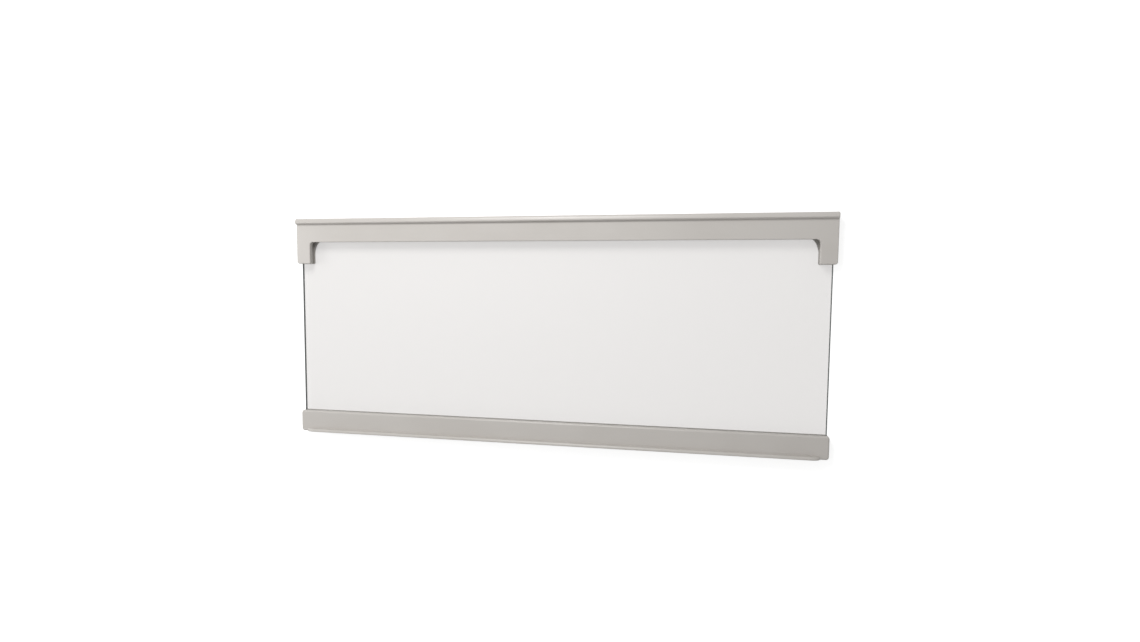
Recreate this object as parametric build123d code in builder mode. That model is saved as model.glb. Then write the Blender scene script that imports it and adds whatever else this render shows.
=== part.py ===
"""Fridge glass shelf: a toughened glass pane held between two moulded plastic trims.

Millimetres, +Z up. The shelf lies flat with its top face up. X runs across the fridge, the front trim is on
the -Y side and the rear trim on the +Y side. The origin is the middle of the underside.
"""

import os

from build123d import *

# Whole shelf
shelf_depth = 200.6  # nose of the front trim to the back of the rear trim

# Glass pane
glass_width = 475.0
glass_thickness = 4.0
glass_corner = 5.0  # radius of the pane's corners, inside the trims
glass_arris = 0.5  # edge ground off all round

# Fit of the pane in the trims
flange = 2.2  # lower limb of a trim, which the pane lies on
edge_gap = 0.2  # pane's edge to a trim's wall
slot_gap = 0.2  # pane's top face to the slot's ceiling, bridged by the crush ribs
rib_width = 1.2
rib_pitch = 36.0
rib_margin = 2.5  # kept clear at both ends of a rib

# Front trim: a bar with a raised lip along its nose and a leg along the pane's edge at each end
front_bar = 21.7
front_rise = 4.2  # face above the pane
front_wall = 2.6
front_end_wall = 2.5
front_foot = 1.5  # rounding along the bottom of the nose
lip_width = 5.3
lip_rise = 2.4
lip_nose = 1.8  # rounding along the outer side of the lip
leg_length = 19.9
leg_width = 13.7
leg_corner = 2.0
bay_corner = 3.0  # inside corner between bar and leg
web_corner = 13.0  # the same corner in the web below the pane
bay_draft = 1.5  # degrees

# Rear trim: a bar with an upstand that keeps food off the fridge's back wall
rear_bar = 19.7
rear_rise = 4.0  # face above the pane
rear_wall = 2.4
rear_end_wall = 1.6
rear_corner = 2.5
rear_round = 1.6  # rounding round the edge of the face
stop_thickness = 2.8
stop_setback = 0.3  # back of the upstand from the back of the bar
stop_rise = 5.0
stop_inset = 7.4  # end of the trim to the end of the upstand
stop_run = 7.5  # length over which each end of the upstand curves down

soft_edge = 0.8  # rounding of the trims' other edges

# Heights and places that follow from those
nose = -shelf_depth / 2
back = shelf_depth / 2
glass_top = flange + glass_thickness
slot_top = glass_top + slot_gap
slot_width = glass_width + 2 * edge_gap
slot_front = nose + front_wall
slot_back = back - rear_wall

front_face = glass_top + front_rise
lip_top = front_face + lip_rise
lip_back = nose + lip_width
lip_crest = nose + 1.1 * lip_nose  # from here the lip rolls down to the face
front_length = slot_width + 2 * front_end_wall
bay_start = nose + front_bar
bay_width = front_length - 2 * leg_width
leg_end = bay_start + leg_length
leg_slot = leg_width - front_end_wall  # how far the pane's side edge reaches into a leg
leg_inner_corner = 1.5 * soft_edge  # wide enough for the soft edge to turn round it

rear_face = glass_top + rear_rise
rear_start = back - rear_bar
rear_length = slot_width + 2 * rear_end_wall
stop_top = rear_face + stop_rise
stop_back = back - stop_setback
stop_end = rear_length / 2 - stop_inset
stop_drop = 0.8 * stop_rise  # height of the curve at each end of the upstand
curve_start = stop_end - stop_run
curve_foot = stop_top - stop_drop

rib_count = int(slot_width // rib_pitch)


# The pane, cut from float glass, ground round its edge and then toughened
with BuildPart() as glass_panel:
    with BuildSketch(Plane.XY.offset(flange)):
        with Locations((0, (slot_front + slot_back) / 2)):
            RectangleRounded(glass_width, slot_back - slot_front - 2 * edge_gap, glass_corner)
    extrude(amount=glass_thickness)
    chamfer(glass_panel.faces().filter_by(Axis.Z).edges(), glass_arris)


# The space that both trims leave for the pane
with BuildPart() as glass_slot:
    with BuildSketch(Plane.XY.offset(flange)):
        with Locations((0, (slot_front + slot_back) / 2)):
            RectangleRounded(slot_width, slot_back - slot_front, glass_corner + edge_gap)
    extrude(amount=slot_top - flange)


with BuildPart() as front_trim:
    # Section through lip and bar, at first as deep as the legs are long
    with BuildSketch(Plane.YZ) as front_section:
        with BuildLine():
            TangentArc((lip_crest, lip_top), (lip_back, front_face), tangent=(1, 0))
            Polyline(
                (lip_back, front_face),
                (leg_end, front_face),
                (leg_end, 0),
                (nose, 0),
                (nose, lip_top),
                (lip_crest, lip_top),
            )
        make_face()
        fillet(front_section.vertices().sort_by_distance((nose, 0))[0], front_foot)
        fillet(front_section.vertices().sort_by_distance((nose, lip_top))[0], lip_nose)
        fillet(front_section.vertices().sort_by_distance((lip_back, front_face))[0], 0.15 * lip_rise)
    extrude(amount=front_length / 2, both=True)

    # Bay that leaves a leg standing at each end
    with BuildSketch(Plane.XY.offset(front_face)) as bay:
        with Locations((0, bay_start)):
            Rectangle(bay_width, 2 * leg_length, align=(Align.CENTER, Align.MIN))
        fillet(bay.vertices().group_by(Axis.Y)[0], bay_corner)
    extrude(amount=-front_face, taper=bay_draft, mode=Mode.SUBTRACT)

    # Corners of the leg ends, then one soft edge that runs on round the whole outline
    leg_end_faces = front_trim.faces().sort_by(Axis.Y)[-2:]
    upright_edges = leg_end_faces.edges().filter_by(lambda edge: abs(edge.tangent_at(0.5).Z) > 0.9)
    outer_edges = upright_edges.filter_by(Axis.Z)
    fillet(outer_edges, leg_corner)
    leg_end_faces = front_trim.faces().filter_by(Axis.Y).sort_by(Axis.Y)[-2:]
    upright_edges = leg_end_faces.edges().filter_by(lambda edge: abs(edge.tangent_at(0.5).Z) > 0.9)
    fillet(upright_edges.sort_by(lambda edge: abs(edge.center().X))[:2], leg_inner_corner)
    side_faces = front_trim.faces().filter_by(Axis.X).sort_by(Axis.X)
    side_edges = side_faces[0].edges() + side_faces[-1].edges()
    fillet(side_edges.filter_by(lambda edge: edge.center().Y < leg_end - leg_corner - soft_edge), soft_edge)

    # Slot for the pane, with the crush ribs that grip its top face
    add(glass_slot.part, mode=Mode.SUBTRACT)
    with BuildSketch(Plane.XY.offset(glass_top)):
        with Locations((0, (slot_front + bay_start) / 2)):
            with GridLocations(rib_pitch, 0, rib_count, 1):
                SlotOverall(bay_start - slot_front - 2 * rib_margin, rib_width, rotation=90)
        with Locations((0, (bay_start + leg_end) / 2)):
            with GridLocations(slot_width - leg_slot, 0, 2, 1):
                SlotOverall(leg_length - 2 * rib_margin, rib_width, rotation=90)
    extrude(amount=slot_gap)

    # Web across each inside corner below the pane, which shows through the glass
    with BuildSketch(mode=Mode.PRIVATE) as web_bay:
        with Locations((0, bay_start)):
            Rectangle(bay_width, 2 * web_corner, align=(Align.CENTER, Align.MIN))
        fillet(web_bay.vertices().group_by(Axis.Y)[0], web_corner)
    with BuildSketch(Plane.XY.offset(soft_edge)):
        with Locations((0, bay_start)):
            Rectangle(bay_width, web_corner, align=(Align.CENTER, Align.MIN))
        add(web_bay.sketch, mode=Mode.SUBTRACT)
    extrude(amount=flange - soft_edge)


# The rear trim's upstand, with ends that curve down to the face; its foot is sunk into the bar
with BuildPart() as rear_stop:
    with BuildSketch(Plane.XZ.offset(-stop_back)):
        with BuildLine():
            Line((-stop_end, curve_foot), (-stop_end, glass_top))
            Line((-stop_end, glass_top), (stop_end, glass_top))
            Line((stop_end, glass_top), (stop_end, curve_foot))
            EllipticalCenterArc((curve_start, curve_foot), stop_run, stop_drop, start_angle=0, arc_size=90)
            Line((curve_start, stop_top), (-curve_start, stop_top))
            EllipticalCenterArc((-curve_start, curve_foot), stop_run, stop_drop, start_angle=90, arc_size=90)
        make_face()
    extrude(amount=stop_thickness)
    fillet(rear_stop.faces().sort_by(Axis.Y)[0].edges().sort_by(Axis.Z)[1:], 0.6 * stop_thickness)
    fillet(rear_stop.faces().sort_by(Axis.Y)[-1].edges().sort_by(Axis.Z)[1:], 0.25 * stop_thickness)


with BuildPart() as rear_trim:
    with BuildSketch() as rear_plan:
        with Locations((0, back)):
            Rectangle(rear_length, rear_bar, align=(Align.CENTER, Align.MAX))
        fillet(rear_plan.vertices(), rear_corner)
    extrude(amount=rear_face)
    fillet(rear_trim.faces().sort_by(Axis.Z)[-1].edges(), rear_round)
    fillet(rear_trim.faces().sort_by(Axis.Z)[0].edges(), soft_edge)

    add(rear_stop.part)

    # Slot for the pane, with its crush ribs
    add(glass_slot.part, mode=Mode.SUBTRACT)
    with BuildSketch(Plane.XY.offset(glass_top)):
        with Locations((0, (rear_start + slot_back) / 2)):
            with GridLocations(rib_pitch, 0, rib_count, 1):
                SlotOverall(slot_back - rear_start - 2 * rib_margin, rib_width, rotation=90)
    extrude(amount=slot_gap)


glass_panel.part.label = "glass_panel"
front_trim.part.label = "front_trim"
rear_trim.part.label = "rear_trim"

os.makedirs("parts", exist_ok=True)
export_step(glass_panel.part, "parts/glass_panel.step")
export_step(front_trim.part, "parts/front_trim.step")
export_step(rear_trim.part, "parts/rear_trim.step")
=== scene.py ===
import bmesh
import bpy
import numpy as np
from mathutils import Matrix, Vector


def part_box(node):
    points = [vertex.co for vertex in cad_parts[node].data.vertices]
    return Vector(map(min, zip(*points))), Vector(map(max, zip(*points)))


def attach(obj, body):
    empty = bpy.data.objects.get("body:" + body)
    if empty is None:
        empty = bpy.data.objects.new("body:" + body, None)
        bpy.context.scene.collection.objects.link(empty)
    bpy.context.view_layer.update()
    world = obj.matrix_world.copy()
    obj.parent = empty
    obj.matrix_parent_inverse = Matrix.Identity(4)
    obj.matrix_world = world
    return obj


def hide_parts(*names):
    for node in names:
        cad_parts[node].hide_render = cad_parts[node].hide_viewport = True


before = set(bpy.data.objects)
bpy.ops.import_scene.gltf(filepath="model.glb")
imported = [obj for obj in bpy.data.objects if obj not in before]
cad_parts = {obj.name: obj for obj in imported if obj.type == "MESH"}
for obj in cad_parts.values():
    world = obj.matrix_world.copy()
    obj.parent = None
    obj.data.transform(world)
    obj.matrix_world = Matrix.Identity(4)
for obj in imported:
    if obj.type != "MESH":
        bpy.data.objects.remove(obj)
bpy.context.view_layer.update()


# Glass pane: float glass cut to size, its edge ground matt all round and its faces left bright from the float
# bath, then toughened. It lies on the lower limbs of the two trims and is gripped by their crush ribs.

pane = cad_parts["glass_panel"]
pane_low, pane_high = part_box("glass_panel")
pane_middle = (pane_low + pane_high) / 2
pane_half = (pane_high - pane_low) / 2
arris = 0.0006
arris_blur = 0.00004

glass_tint = (0.715, 0.702, 0.698, 1)
# The ground edge's two greys are painted shade: near black to stand in for the dark look of the pane's rim,
# mixed by the grinding noise as grain.
ground_edge_painted_dark = (0.08, 0.09, 0.086, 1)
ground_edge_painted_pale = (0.12, 0.133, 0.128, 1)
shade_tint = (0.91, 0.91, 0.90, 1)
glass_ior = 1.52


class Wire:
    """An output of a shader node. Arithmetic on wires and numbers adds the Math nodes that work it out."""

    def __init__(self, tree, socket=None):
        self.tree = tree
        self.socket = socket

    def node(self, kind, settings={}, sockets={}):
        """Adds a node, sets its settings, then sets or links its sockets. Gives its first output."""
        made = self.tree.nodes.new(kind)
        for name, value in settings.items():
            setattr(made, name, value)
        for name, value in sockets.items():
            if isinstance(value, Wire):
                self.tree.links.new(value.socket, made.inputs[name])
            else:
                made.inputs[name].default_value = value
        return Wire(self.tree, made.outputs[0] if made.outputs else None)

    def output(self, name):
        """Another output of the same node."""
        return Wire(self.tree, self.socket.node.outputs[name])

    def math(self, operation, *values):
        return self.node("ShaderNodeMath", {"operation": operation}, dict(enumerate(values)))

    def __add__(self, other):
        return self.math("ADD", self, other)

    def __sub__(self, other):
        return self.math("SUBTRACT", self, other)

    def __rsub__(self, other):
        return self.math("SUBTRACT", other, self)

    def __mul__(self, other):
        return self.math("MULTIPLY", self, other)

    def __abs__(self):
        return self.math("ABSOLUTE", self)

    __radd__ = __add__
    __rmul__ = __mul__

    def rise(self, start, end):
        """0 up to start, 1 from end on, and a smooth step between them."""
        return self.node(
            "ShaderNodeMapRange",
            {"interpolation_type": "SMOOTHSTEP"},
            {"Value": self, "From Min": start, "From Max": end},
        )

    def noise(self, scale, detail, stretch=(1, 1, 1)):
        """Noise from 0 to 1 over the vector on this wire, with this many features to a metre."""
        spread = self.node(
            "ShaderNodeVectorMath",
            {"operation": "MULTIPLY"},
            {0: self, 1: stretch},
        )
        return spread.node("ShaderNodeTexNoise", {}, {"Vector": spread, "Scale": scale, "Detail": detail})

    def blend(self, first, second):
        """The first colour where this wire is 0 and the second where it is 1."""
        return self.node(
            "ShaderNodeMix",
            {"data_type": "RGBA"},
            {"Factor": self, 6: first, 7: second},
        ).output(2)


def new_material(name):
    """An empty material and a wire to start its nodes from."""
    material = bpy.data.materials.new(name)
    material.use_nodes = True
    material.node_tree.nodes.clear()
    return material, Wire(material.node_tree)


def toughened_glass():
    """Clear glass with faint wiped smears, and a matt ground edge within the arris of the rim, coloured near
    black as painted shade for the rim's dark look.
    """
    material, start = new_material("toughened_glass")
    place = start.node("ShaderNodeTexCoord").output("Object")
    split = place.node("ShaderNodeSeparateXYZ", {}, {0: place})
    beyond_side = abs(split.output("X") - pane_middle.x) - (pane_half.x - arris)
    beyond_end = abs(split.output("Y") - pane_middle.y) - (pane_half.y - arris)
    rim = start.math("MAXIMUM", beyond_side, beyond_end).rise(-arris_blur, arris_blur)

    smears = place.noise(28, 4, stretch=(0.5, 1.6, 1)).rise(0.48, 0.72)
    streaks = place.noise(900, 2, stretch=(0.03, 1, 1)).rise(0.45, 0.75)
    faces = start.node(
        "ShaderNodeBsdfPrincipled",
        {},
        {
            "Base Color": glass_tint,
            "Roughness": 0.004 + smears * 0.02 + smears * streaks * 0.02,
            "IOR": glass_ior,
            "Transmission Weight": 1.0,
        },
    )
    grinding = place.noise(3500, 3)
    scratched = start.node("ShaderNodeBump", {}, {"Strength": 0.4, "Distance": 0.00003, "Height": grinding})
    edge = start.node(
        "ShaderNodeBsdfPrincipled",
        {},
        {
            "Base Color": grinding.blend(ground_edge_painted_dark, ground_edge_painted_pale),
            "Roughness": 0.45 + grinding * 0.2,
            "IOR": glass_ior,
            "Normal": scratched,
        },
    )
    glass = start.node("ShaderNodeMixShader", {}, {0: rim, 1: faces, 2: edge})
    clear = start.node("ShaderNodeBsdfTransparent", {}, {"Color": shade_tint})
    path = start.node("ShaderNodeLightPath")
    lit = start.node("ShaderNodeMixShader", {}, {0: path.output("Is Shadow Ray"), 1: glass, 2: clear})
    surface = start.node("ShaderNodeMixShader", {}, {0: path.output("Is Diffuse Ray"), 1: lit, 2: clear})
    start.node("ShaderNodeOutputMaterial", {}, {"Surface": surface})
    return material


pane.data.materials.clear()
pane.data.materials.append(toughened_glass())


# Front trim: one injection moulding in warm light grey plastic, pushed onto the pane, with a lip that leans back
# along its nose and a short leg at each end. The bar's wall lies back under its face, and a thin web fills
# each inside corner below the pane. Its satin faces have a soft gloss and a very fine grain.

front_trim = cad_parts["front_trim"]
front_low, front_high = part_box("front_trim")
lip_top = front_high.z
lip_width = 0.0053
lip_rise = 0.0024
nose_round = 0.0018
lip_crest = front_low.y + 1.1 * nose_round
lip_foot = front_low.y + lip_width
lip_lean = 0.0021
bar_width = 0.0217
bay_start = front_low.y + bar_width
leg_width = 0.0137
bay_side = front_high.x - leg_width
bay_corner = 0.003
bay_tuck = 0.12
limb_top = 0.0022
limb_tuck = 0.0015
web_reach = 0.013
web_narrowing = 0.65
trim_grey = (0.546, 0.520, 0.490, 1)
trim_grey_worn = (0.521, 0.494, 0.463, 1)


def satin_plastic():
    """Warm grey with slow shifts of tone, wiped streaks along X in the gloss, and a fine grain as bump."""
    material, start = new_material("satin_grey_plastic")
    place = start.node("ShaderNodeTexCoord").output("Object")
    tone = place.noise(35, 4, stretch=(0.5, 1, 1))
    speckle = place.noise(1400, 2)
    shift = (tone * 0.7 + speckle * 0.3).rise(0.35, 0.7)
    patches = place.noise(60, 3).rise(0.35, 0.7)
    streaks = place.noise(1600, 3, stretch=(0.02, 1, 1)).rise(0.4, 0.75)
    grain = place.noise(3200, 2)
    waviness = place.noise(45, 1, stretch=(0.4, 1, 1))
    fine = start.node("ShaderNodeBump", {}, {"Strength": 0.12, "Distance": 0.00004, "Height": grain})
    bump = start.node(
        "ShaderNodeBump",
        {},
        {"Strength": 0.1, "Distance": 0.0004, "Height": waviness, "Normal": fine},
    )
    plastic = start.node(
        "ShaderNodeBsdfPrincipled",
        {},
        {
            "Base Color": shift.blend(trim_grey, trim_grey_worn),
            "Roughness": 0.27 + patches * 0.06 + streaks * 0.05 + grain * 0.04,
            "IOR": 1.53,
            "Normal": bump,
        },
    )
    start.node("ShaderNodeOutputMaterial", {}, {"Surface": plastic})
    return material


def leaned(across, height):
    """How far a point of the lip leans back. Before the crest, the quarter circle of the nose becomes an
    ellipse wider by the lean. Behind it, the roll down to the face becomes a steep quarter ellipse with the
    same foot."""
    up_nose = ((height - lip_top + nose_round) / nose_round).clip(0, 1)
    up_roll = ((height - lip_top + lip_rise) / lip_rise).clip(0, 1)
    drop = lip_rise * (1 - up_roll)
    roll_run = lip_foot - lip_crest
    roll_radius = (roll_run**2 + lip_rise**2) / (2 * lip_rise)
    roll = np.sqrt((2 * roll_radius - drop) * drop)
    steep = lip_lean + (roll_run - lip_lean) * np.sqrt(1 - up_roll**2)
    return np.where(across < lip_crest, lip_lean * (1 - np.sqrt(1 - up_nose**2)), steep - roll)


def tucked(aside, across, height):
    """How far a point of the bar's wall in the bay lies back under the face: in step with its depth above the
    pane, and by a fixed length below it. Both fade out round the inside corner and along the web."""
    fade = ((bay_side - aside) / bay_corner).clip(0, 1)
    web_fade = 1 - ((across - bay_start) / web_reach).clip(0, 1)
    depth = lip_top - lip_rise - height
    on_wall = np.abs(across - bay_start) < 1.1 * bay_corner
    below = (height < 1.01 * limb_top) & (across > bay_start - 0.1 * bay_corner)
    return fade * np.where(below, limb_tuck * web_fade, np.where(on_wall, bay_tuck * depth, 0).clip(0))


def refined_moulding(source):
    """A copy of the moulding's mesh with its lip leaned back, its bay wall tucked under and its corner webs
    narrowed. Each is a shear or a stretch along one axis, and the normals turn with it."""
    mesh = source.copy()
    normals = np.empty(3 * len(mesh.loops), np.float32)
    mesh.corner_normals.foreach_get("vector", normals)
    normals = normals.reshape(-1, 3).astype(float)
    corners = np.empty(len(mesh.loops), np.int32)
    mesh.loops.foreach_get("vertex_index", corners)
    points = np.empty(3 * len(mesh.vertices), np.float32)
    mesh.vertices.foreach_get("co", points)
    points = points.reshape(-1, 3).astype(float)
    aside, across, height = np.abs(points[:, 0]), points[:, 1].copy(), points[:, 2]

    step = 0.00002
    on_lip = (across < lip_foot) & (height > lip_top - lip_rise)
    lean = leaned(across, height)
    lean_slope = (lean - leaned(across, height - step)) / step
    tuck = tucked(aside, across, height)
    tuck_slope = (tuck - tucked(aside, across, height - step)) / step
    on_web = (height < 1.01 * limb_top) & (across > bay_start - 0.1 * bay_corner) & (aside < bay_side)
    on_web &= (across < bay_start + 1.01 * web_reach) & (aside > bay_side - 1.01 * web_reach)
    points[:, 0] += np.where(on_web, np.sign(points[:, 0]) * (bay_side - aside) * (1 - web_narrowing), 0)
    points[:, 1] += np.where(on_lip, lean, -tuck)
    slope = np.where(on_lip, lean_slope, -tuck_slope).clip(-20, 20)
    normals[:, 2] -= slope[corners] * normals[:, 1]
    normals[:, 0] /= np.where(on_web, web_narrowing, 1)[corners]
    normals /= np.linalg.norm(normals, axis=1, keepdims=True)
    mesh.vertices.foreach_set("co", points.ravel())
    kept = mesh.attributes.new("kept_normals", "FLOAT_VECTOR", "CORNER")
    kept.data.foreach_set("vector", normals.ravel())

    joined = bmesh.new()
    joined.from_mesh(mesh)
    bmesh.ops.remove_doubles(joined, verts=joined.verts, dist=0.000001)
    joined.to_mesh(mesh)
    joined.free()
    normals = np.empty(3 * len(mesh.loops), np.float32)
    mesh.attributes["kept_normals"].data.foreach_get("vector", normals)
    mesh.attributes.remove(mesh.attributes["kept_normals"])
    mesh.normals_split_custom_set(normals.reshape(-1, 3))
    return mesh


trim_plastic = satin_plastic()
front_moulding = bpy.data.objects.new("front_moulding", refined_moulding(front_trim.data))
front_moulding.data.materials.clear()
front_moulding.data.materials.append(trim_plastic)
bpy.context.scene.collection.objects.link(front_moulding)
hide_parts("front_trim")
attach(front_moulding, "root")


# Rear trim: a second moulding in the same plastic, a bar with an upstand along its back edge that keeps food
# off the fridge's rear wall. It is pushed onto the pane in the same way.

rear_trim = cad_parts["rear_trim"]
rear_trim.data.materials.clear()
rear_trim.data.materials.append(trim_plastic)


# Floor: a wide white table top that the shelf lies on. It looks white to the eye and in the glass, and still
# darkens where the shelf keeps the lamp off it.

floor_half = 4.0
floor_white = (0.6, 0.6, 0.6, 1)
floor_glow = 0.7


def seen_directly(start):
    """1 for a ray from the camera, also after a mirror or glass has turned it, and 0 after a matt surface."""
    path = start.node("ShaderNodeLightPath")
    turned = path.output("Is Glossy Ray") + path.output("Is Transmission Ray")
    reached = start.math("MINIMUM", path.output("Is Camera Ray") + turned, 1)
    return reached * start.math("LESS_THAN", path.output("Diffuse Depth"), 0.5)


def table_top():
    """White card that glows a little for the camera and for what is seen in or through the glass."""
    material, start = new_material("white_table")
    card = start.node("ShaderNodeBsdfDiffuse", {}, {"Color": floor_white})
    glow = start.node("ShaderNodeEmission", {}, {"Strength": seen_directly(start) * floor_glow})
    surface = start.node("ShaderNodeAddShader", {}, {0: card, 1: glow})
    start.node("ShaderNodeOutputMaterial", {}, {"Surface": surface})
    return material


floor_mesh = bpy.data.meshes.new("floor")
floor_mesh.from_pydata(
    [
        (-floor_half, -floor_half, 0),
        (floor_half, -floor_half, 0),
        (floor_half, floor_half, 0),
        (-floor_half, floor_half, 0),
    ],
    [],
    [(0, 1, 2, 3)],
)
floor_mesh.materials.append(table_top())
floor = bpy.data.objects.new("floor", floor_mesh)
bpy.context.scene.collection.objects.link(floor)


# Studio: a soft key lamp in front of the front trim, a weaker one off the shelf's +X end, so that the light
# falls off along the shelf, and an even pale surround.

lamps = {
    "front_lamp": {"place": Vector((0.12, -0.42, 0.48)), "side": 0.25, "watts": 2.3},
    "side_lamp": {"place": Vector((0.75, -0.05, 0.45)), "side": 0.3, "watts": 1.5},
}
surround_fill = 0.46

for name, lamp in lamps.items():
    light = bpy.data.lights.new(name, "AREA")
    light.shape = "SQUARE"
    light.size = lamp["side"]
    light.energy = lamp["watts"]
    stand = bpy.data.objects.new(name, light)
    stand.location = lamp["place"]
    stand.rotation_euler = (-lamp["place"]).to_track_quat("-Z", "Y").to_euler()
    bpy.context.scene.collection.objects.link(stand)

world = bpy.data.worlds.new("pale_surround")
world.use_nodes = True
world.node_tree.nodes.clear()
sky = Wire(world.node_tree)
level = surround_fill + seen_directly(sky) * (1 - surround_fill)
backdrop = sky.node("ShaderNodeBackground", {}, {"Color": (1, 1, 1, 1), "Strength": level})
sky.node("ShaderNodeOutputWorld", {}, {"Surface": backdrop})
bpy.context.scene.world = world
bpy.context.scene.view_settings.view_transform = "Standard"


# Camera: held above the shelf and toward its -X end, with the front trim at the top of the picture.

camera_place = Vector((-0.1373, -0.0381, 0.5626))
camera_aim = Vector((-0.0248, 0.0054, 0.0062))
picture_up = Vector((0.0091, -1, 0))

camera_data = bpy.data.cameras.new("camera")
camera_data.sensor_width = 36
camera_data.lens = 20.55
camera_data.shift_x = -0.0028
camera_data.shift_y = 0.0149
camera_data.clip_start = 0.01
forward = (camera_aim - camera_place).normalized()
right = forward.cross(picture_up).normalized()
above = right.cross(forward)
camera = bpy.data.objects.new("camera", camera_data)
turn = Matrix((right, above, -forward)).transposed().to_4x4()
camera.matrix_world = Matrix.Translation(camera_place) @ turn
bpy.context.scene.collection.objects.link(camera)
bpy.context.scene.camera = camera
